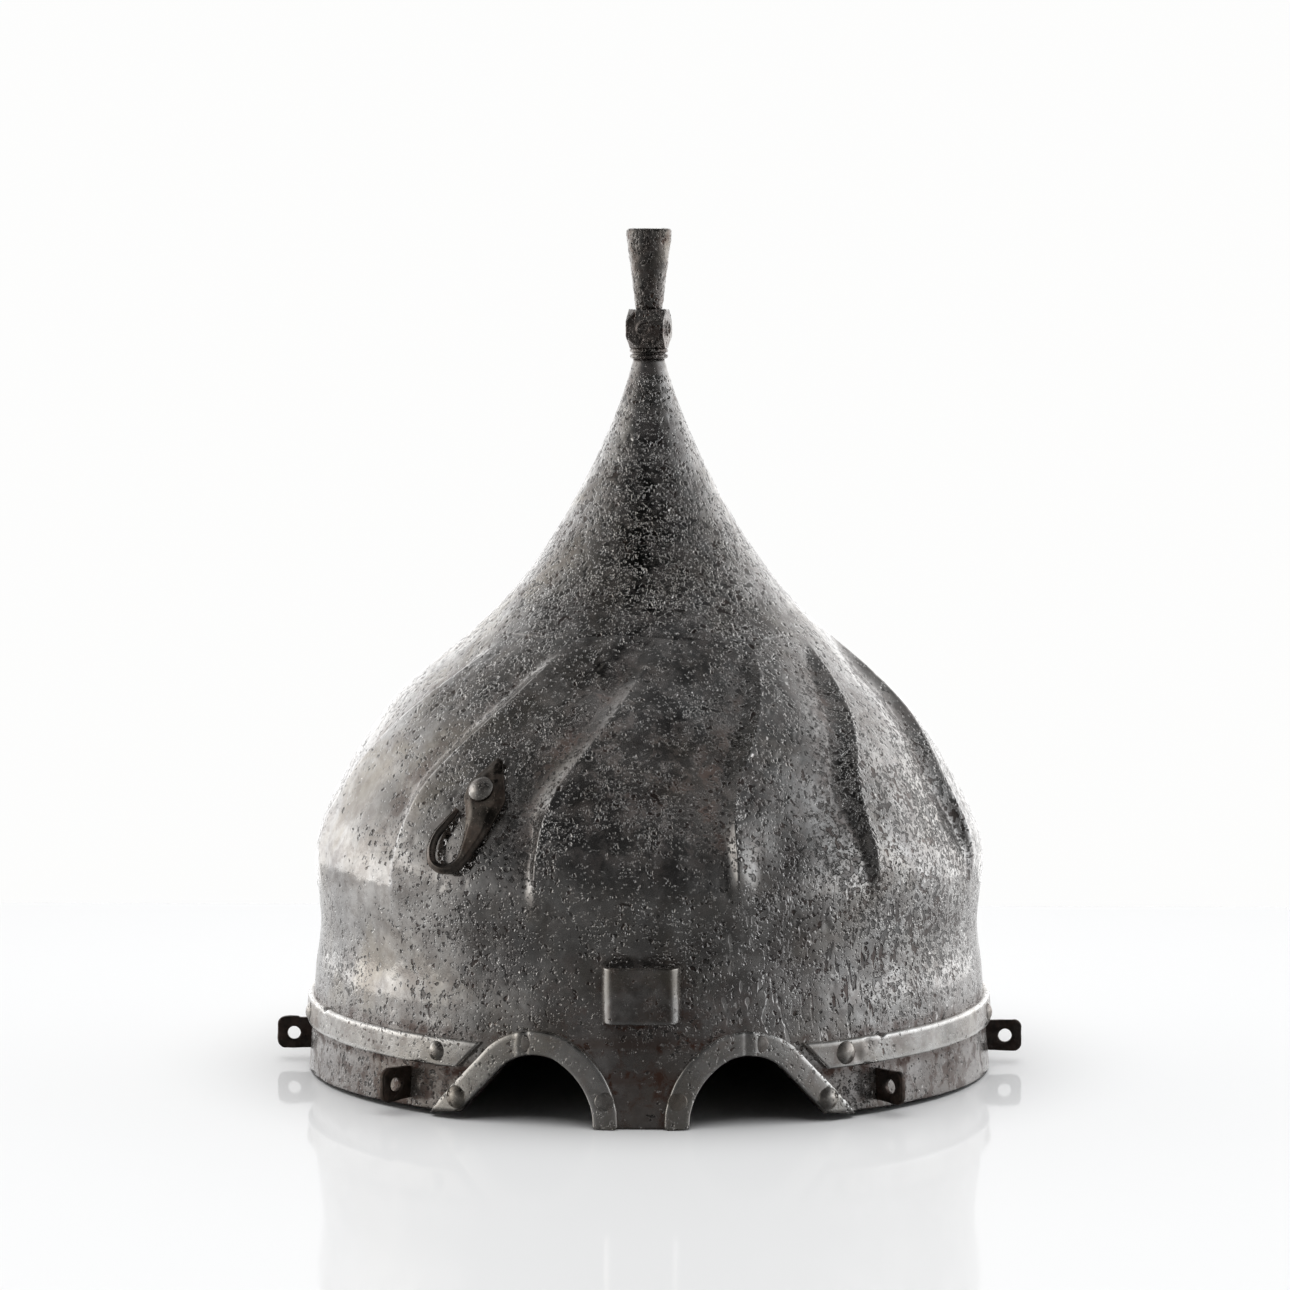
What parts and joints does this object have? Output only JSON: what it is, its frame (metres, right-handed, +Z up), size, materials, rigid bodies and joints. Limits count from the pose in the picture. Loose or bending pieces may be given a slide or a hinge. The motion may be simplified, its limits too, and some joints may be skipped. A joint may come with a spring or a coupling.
{
  "type": "fluted turban helmet",
  "caption": "Tall onion-shaped steel helmet with twisted flutes, a finial, riveted rim and brow bands, pierced lugs, an empty nasal bracket and a swivelling hook.",
  "frame": {"origin": "the skull's axis in the plane of the rim, where the head goes in", "axes": "+Z up along the skull's axis to the finial, -Y the way the wearer faces, +X to the wearer's left; left and right in names are as seen by a viewer facing the helmet, so left is -X"},
  "size_m": [0.262, 0.2543, 0.292],
  "materials": {
    "skull": "forged and hammered, worn, fine pitting with brown patina",
    "band": "worn bright edges, fine pitting, brown patina in the seams",
    "rivets": "polished by wear, pitted",
    "lug_iron": "black-brown iron, rough",
    "bracket": "bright worn bends, dark pitted face",
    "hook_steel": "dark olive-brown patina, bright worn edges",
    "finial_steel": "dark pitted steel",
    "rove_iron": "rough brown iron"
  },
  "bodies": {
    "helmet": {"skull": "skull", "brow_band_left": "band", "brow_band_right": "band", "brow_rivets_left": "rivets", "brow_rivets_right": "rivets", "rim_band": "band", "rim_band_rivets": "rivets", "nasal_bracket": "bracket", "hook_rivet": "rivets", "hook_rove": "rove_iron", "finial_collar": "finial_steel", "finial_knop": "finial_steel", "finial_stem": "finial_steel", "finial_rove": "rove_iron", "lug_front_left": "lug_iron", "lug_front_right": "lug_iron", "lug_left": "lug_iron", "lug_right": "lug_iron", "lug_rear_left": "lug_iron", "lug_rear_right": "lug_iron", "lug_rear": "lug_iron"},
    "hook": {"hook": "hook_steel"}
  },
  "joints": [
    {"name": "hook_swivel", "type": "hinge", "parent": "helmet", "child": "hook", "pos_m": [-0.05231, -0.08916, 0.1064], "axis": [-0.3519, -0.7874, 0.5062], "range_deg": [-180, 40]}
  ]
}
